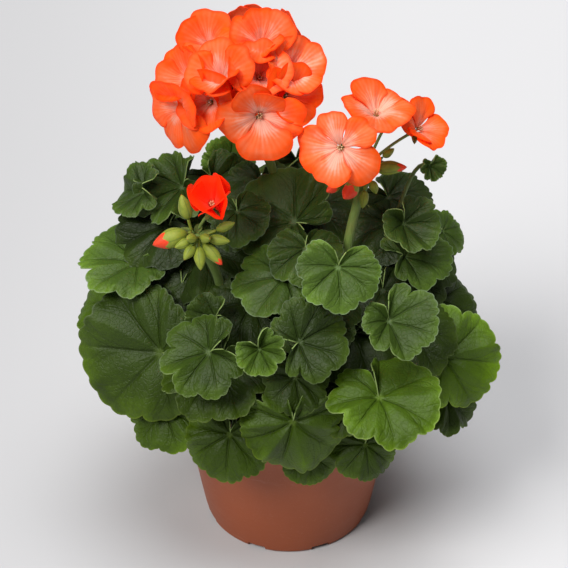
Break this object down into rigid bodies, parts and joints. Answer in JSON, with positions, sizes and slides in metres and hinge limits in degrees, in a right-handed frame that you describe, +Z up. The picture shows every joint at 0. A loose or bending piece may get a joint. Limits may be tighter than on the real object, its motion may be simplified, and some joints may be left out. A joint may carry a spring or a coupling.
{
  "type": "potted zonal geranium",
  "caption": "Zonal geranium with round scalloped leaves and coral flower heads, growing in a plain terracotta-coloured plastic pot.",
  "frame": {"origin": "centre of the pot's underside, on the surface it stands on", "axes": "+Z up along the pot's axis, -Y towards the pictured front, +X to the right seen from the front"},
  "size_m": [0.2047, 0.2007, 0.3001],
  "materials": {
    "pot": "smooth moulded terracotta-coloured plastic, slightly satin",
    "soil": "moist crumbly compost",
    "stem": "thick green to brownish stem, finely hairy",
    "stalk": "smooth light olive green flower stalk",
    "leaf": "velvety green leaf with sunken veins and a paler margin",
    "petal": "soft coral orange petal, paler and veined towards the throat",
    "bud": "yellow-green hairy sepals, coral tips"
  },
  "bodies": {
    "root": {"pot": "pot", "soil": "soil", "stem_middle": "stem", "stem_left": "stem", "stem_right": "stem", "stem_back": "stem", "flower_stalk_big": "stalk", "flower_stalk_right": "stalk", "flower_stalk_left": "stalk", "leaf_front_hanging": "leaf", "leaf_front_right_large": "leaf", "leaf_front_right_low": "leaf", "leaf_front_left_low": "leaf", "leaf_front_left_broad": "leaf", "leaf_front_left_bright": "leaf", "leaf_left_low": "leaf", "leaf_left_large": "leaf", "leaf_left_bright": "leaf", "leaf_centre": "leaf", "leaf_heart": "leaf", "leaf_centre_left": "leaf", "leaf_folded_right": "leaf", "leaf_right_large": "leaf", "leaf_right_shaded": "leaf", "leaf_right_upper": "leaf", "leaf_right_back": "leaf", "leaf_top_right": "leaf", "leaf_top": "leaf", "leaf_top_left": "leaf", "leaf_crinkled_left": "leaf", "leaf_under_flowers": "leaf", "leaf_left_back": "leaf", "leaf_back_left_low": "leaf", "leaf_back_low": "leaf", "leaf_back_right_low": "leaf", "leaf_right_back_low": "leaf", "leaf_back_left": "leaf", "leaf_back_middle": "leaf", "leaf_back_right": "leaf", "leaf_back_top": "leaf", "leaf_back_skirt_left": "leaf", "leaf_back_skirt_right": "leaf", "leaf_left_skirt": "leaf", "flower_big_front": "petal", "flower_big_left": "petal", "flower_big_front_left": "petal", "flower_big_crown_left": "petal", "flower_big_crown": "petal", "flower_big_right": "petal", "flower_big_back": "petal", "flower_right_front": "petal", "flower_right_crown": "petal", "flower_right_side": "petal", "flower_left_small": "petal", "buds_right_head": "bud", "buds_left_head_low": "bud", "buds_left_head_side": "bud"}
  },
  "joints": []
}
